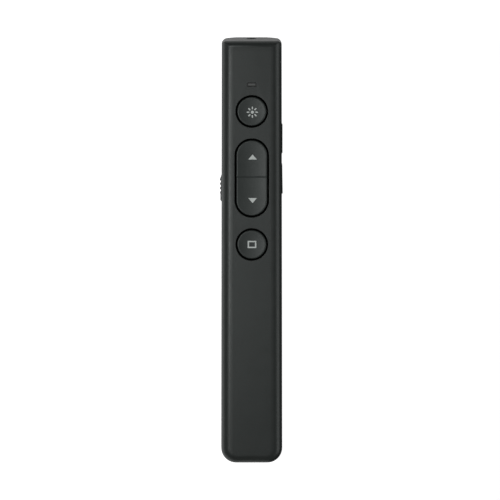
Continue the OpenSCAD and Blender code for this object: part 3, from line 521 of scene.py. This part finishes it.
def make_slider():
    """The slider knob, its upper and lower ends rounded off, with its neck and flange behind the wall."""
    low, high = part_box("power_slider")
    middle = (low + high) / 2
    side = low.x + SLIDER_PROUD
    outline = knob_outline(side, low.y, high.y)
    base = outline[0][0]
    end_r = 0.3 * MM
    turns = [math.radians(18 * i) for i in range(6)]
    ends = [(end_r * (1 - math.cos(turn)), end_r * (1 - math.sin(turn))) for turn in turns]
    levels = [(low.z + rise, pull) for rise, pull in ends]
    levels += [(high.z - rise, pull) for rise, pull in ends[::-1]]
    shape = Shape()
    shape.stack([[(min(x + pull, base), y, z) for x, y in outline] for z, pull in levels])
    flange = high.x - 0.6 * MM
    neck = Vector((0, 1.5, 0.75)) * MM
    plate = Vector((0, 3 * MM, (high.z - low.z) / 2))
    for start, end, half in ((base, flange, neck), (flange, high.x, plate)):
        near_end = Vector((start, middle.y, middle.z)) - half
        far_end = Vector((end, middle.y, middle.z)) + half
        add_block(shape, near_end, far_end)
    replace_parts(shape.piece("slider_knob", SIDE_KEY, "slider", "cap_plastic"), "power_slider")


# ---------------------------------------------------------------- icons on the caps

def printed_icon(name, outlines, drop, body):
    """A thin inlay that lies drop(x, y) below the face. Each outline is a closed run of points."""
    rise = 0.012 * MM
    depth = 0.05 * MM
    shape = Shape()
    bm = shape.bm
    for outline in outlines:
        bm.faces.new([bm.verts.new((x, y, 0)) for x, y in outline])
    bmesh.ops.triangulate(bm, faces=bm.faces[:])
    bmesh.ops.subdivide_edges(bm, edges=bm.edges[:], cuts=3, use_grid_fill=True)
    extruded = bmesh.ops.extrude_face_region(bm, geom=bm.faces[:])
    upper = {v for v in extruded["geom"] if isinstance(v, bmesh.types.BMVert)}
    for v in bm.verts:
        v.co.z = FACE_Z - drop(v.co.x, v.co.y) + (rise if v in upper else -depth)
    return shape.piece(name, INK, body, "cap_plastic")


def ray_points(x, y, angle, low, high, width):
    """A round-ended bar from low to high along a direction."""
    c, s = math.cos(angle), math.sin(angle)
    r = width / 2
    local = arc((low + r, 0), r, 90, 270, 6) + arc((high - r, 0), r, -90, 90, 6)
    return [(x + u * c - v * s, y + u * s + v * c) for u, v in local]


def frame_outlines(x, y, w, h, stroke):
    """The four bars of a rectangular frame."""
    a, b, t = w / 2, h / 2, stroke
    bars = [(-a, -b, a, t - b), (-a, b - t, a, b), (-a, t - b, t - a, b - t), (a - t, t - b, a, b - t)]
    return [[(x + x0, y + y0), (x + x1, y + y0), (x + x1, y + y1), (x + x0, y + y1)]
            for x0, y0, x1, y1 in bars]


def triangle_points(x, y, w, h, way):
    return [(x - w / 2, y - way * h / 2), (x + w / 2, y - way * h / 2), (x, y + way * h / 2)]


def dish_drop(hole, middle):
    """How far below the button face the cap in this opening lies, as a function of the place."""
    half_w = hole[0] / 2 - CAP_GAP
    half_straight = (hole[1] - hole[0]) / 2

    def drop(x, y):
        past_straight = max(abs(y - middle.y) - half_straight, 0)
        return cap_drop(half_w - math.hypot(x - middle.x, past_straight), half_w)
    return drop


def make_icons():
    x, y = LASER_BUTTON.x + 0.2 * MM, LASER_BUTTON.y - 0.27 * MM
    sun = [arc((x, y), 0.52 * MM, 0, 360, 24)[:-1]]
    sun += [ray_points(x, y, math.radians(45 * i), 0.95 * MM, 1.9 * MM, 0.44 * MM) for i in range(8)]
    printed_icon("laser_icon", sun, dish_drop(ROUND_HOLE, LASER_BUTTON), "laser_key")

    arrow_at, lower = 7.34 * MM, 0.27 * MM
    for name, way in (("page_up_icon", 1), ("page_down_icon", -1)):
        x, y = ROCKER.x + 0.27 * MM, ROCKER.y - lower + way * arrow_at
        arrow = triangle_points(x, y, 2.85 * MM, 1.7 * MM, way)
        printed_icon(name, [arrow], dish_drop(ROCKER_HOLE, ROCKER), "page_key")

    x, y = SCREEN_BUTTON.x + 0.07 * MM, SCREEN_BUTTON.y
    screen = frame_outlines(x, y, 2.9 * MM, 2.45 * MM, 0.46 * MM)
    printed_icon("screen_icon", screen, dish_drop(ROUND_HOLE, SCREEN_BUTTON), "screen_key")


# ---------------------------------------------------------------- floor, lights and camera

MIDDLE = Vector((0, 0, 7 * MM))


def floor_glow(tree, shade):
    """How bright the object sees the floor: a painted glow, dimmer where painted shade lies on it,
    brighter far out on the left.
    """
    glow = map_range(tree, shade, "Value", 0.0, 1.0, 0.35, 0.02)
    far_glow = map_range(tree, object_place(tree), "X", -45 * MM, -12 * MM, 0.5, 0.0)
    mirrored = add_node(tree, "ShaderNodeMath", operation="ADD")
    link(tree, glow, "Result", mirrored, 0)
    link(tree, far_glow, "Result", mirrored, 1)
    return mirrored


def seen_from_above(tree, shader):
    """Makes the material transparent from below."""
    geometry = add_node(tree, "ShaderNodeNewGeometry")
    see_through = add_node(tree, "ShaderNodeBsdfTransparent")
    either = add_node(tree, "ShaderNodeMixShader")
    link(tree, geometry, "Backfacing", either, 0)
    link(tree, shader, 0, either, 1)
    link(tree, see_through, 0, either, 2)
    link(tree, either, 0, tree.nodes["Material Output"], "Surface")


def floor_material():
    """White to the camera. To all other rays it shows a painted glow and painted shade beside the
    object's right side, so what the object mirrors of it is dimmer, most so beside its right side.
    """
    material, tree, shader = new_material("pale_floor")
    float_a, float_b = 2, 3
    place = object_place(tree)
    # Painted shade on the floor: near black beside the object's right side, stopping short of its laser
    # end
    shade = add_node(tree, "ShaderNodeMath", operation="MULTIPLY")
    ends = (("X", 8 * MM, 11 * MM), ("Y", 73 * MM, 70 * MM))
    for i, (axis, clear, dark) in enumerate(ends):
        side = map_range(tree, place, axis, clear, dark)
        link(tree, side, "Result", shade, i)
    tint = colour_mix(tree, shade, "Value", (0.7, 0.7, 0.7), (0.02, 0.02, 0.02))
    tree.links.new(tint, shader.inputs["Base Color"])
    shader.inputs["Roughness"].default_value = 0.8
    shader.inputs["Specular IOR Level"].default_value = 0.1
    shader.inputs["Emission Color"].default_value = (1, 1, 1, 1)
    # Painted glow: full white to the camera, the dimmer painted glow to all other rays
    path = add_node(tree, "ShaderNodeLightPath")
    pick = add_node(tree, "ShaderNodeMix", data_type="FLOAT")
    link(tree, path, "Is Camera Ray", pick, MIX_FACTOR)
    link(tree, floor_glow(tree, shade), "Value", pick, float_a)
    pick.inputs[float_b].default_value = 1.0
    link(tree, pick, 0, shader, "Emission Strength")
    seen_from_above(tree, shader)
    return material


def make_floor():
    half = 4.0
    corners = [(-half, -half, 0), (half, -half, 0), (half, half, 0), (-half, half, 0)]
    mesh = bpy.data.meshes.new("floor")
    mesh.from_pydata(corners, [], [(0, 1, 2, 3)])
    floor = bpy.data.objects.new("floor", mesh)
    bpy.context.scene.collection.objects.link(floor)
    mesh.materials.append(floor_material())


def soft_box(name, side, ahead, distance, width, length, radiance):
    """A rectangular light. side and ahead are its degrees from straight up, towards +X and +Y."""
    way = Vector((math.tan(math.radians(side)), math.tan(math.radians(ahead)), 1)).normalized()
    light = bpy.data.lights.new(name, "AREA")
    light.shape = "RECTANGLE"
    light.size = width
    light.size_y = length
    light.energy = radiance * math.pi * width * length
    obj = bpy.data.objects.new(name, light)
    obj.location = MIDDLE + way * distance
    x = Vector((0, 1, 0)).cross(way).normalized()
    y = way.cross(x)
    obj.rotation_euler = Matrix((x, y, way)).transposed().to_euler()
    obj.visible_camera = False
    bpy.context.scene.collection.objects.link(obj)


def make_world():
    """White to the camera, and dim as a light."""
    world = bpy.data.worlds.new("studio")
    world.use_nodes = True
    tree = world.node_tree
    background = tree.nodes["Background"]
    background.inputs["Color"].default_value = (1, 1, 1, 1)
    path = add_node(tree, "ShaderNodeLightPath")
    strength = map_range(tree, path, "Is Camera Ray", 0.0, 1.0, 0.16, 1.0)
    link(tree, strength, "Result", background, "Strength")
    bpy.context.scene.world = world


def make_lights():
    make_world()
    boxes = (
        {"name": "overhead_box", "side": -14, "ahead": -4, "distance": 1.2,
         "width": 0.7, "length": 0.8, "radiance": 0.25},
        {"name": "left_box", "side": -19, "ahead": 1, "distance": 0.25,
         "width": 0.085, "length": 0.17, "radiance": 4.5},
        {"name": "left_low_box", "side": -82, "ahead": 0, "distance": 0.5,
         "width": 0.07, "length": 0.5, "radiance": 0.5},
        {"name": "right_box", "side": 68, "ahead": -10, "distance": 1.2,
         "width": 0.6, "length": 1.3, "radiance": 1.35},
    )
    for box in boxes:
        soft_box(**box)


def make_camera():
    """A long lens looks down on the buttons, tipped a little towards the laser end."""
    pitch, yaw = math.radians(7.5), math.radians(-0.5)
    distance = 2.4
    image_size = 500
    mm_per_pixel = 0.3356
    target = Vector((-0.53 * MM, 0.2 * MM, 7.25 * MM))
    level = math.cos(pitch)
    back = Vector((math.sin(yaw) * level, math.sin(pitch), math.cos(yaw) * level))
    camera = bpy.data.cameras.new("camera")
    camera.sensor_width = 36
    camera.lens = camera.sensor_width * distance / (image_size * mm_per_pixel * MM)
    camera.clip_start, camera.clip_end = 0.1, 20
    obj = bpy.data.objects.new("camera", camera)
    obj.location = target + back * distance
    right = Vector((0, 1, 0)).cross(back).normalized()
    up = back.cross(right)
    obj.rotation_euler = Matrix((right, up, back)).transposed().to_euler()
    bpy.context.scene.collection.objects.link(obj)
    bpy.context.scene.camera = obj
    bpy.context.scene.view_settings.view_transform = "Standard"


finish_cad_nodes()
make_round_cap("laser_cap", "laser_button", LASER_BUTTON, "laser_key")
make_round_cap("screen_cap", "screen_button", SCREEN_BUTTON, "screen_key")
make_page_cap()
make_slider()
make_icons()
make_floor()
make_lights()
make_camera()
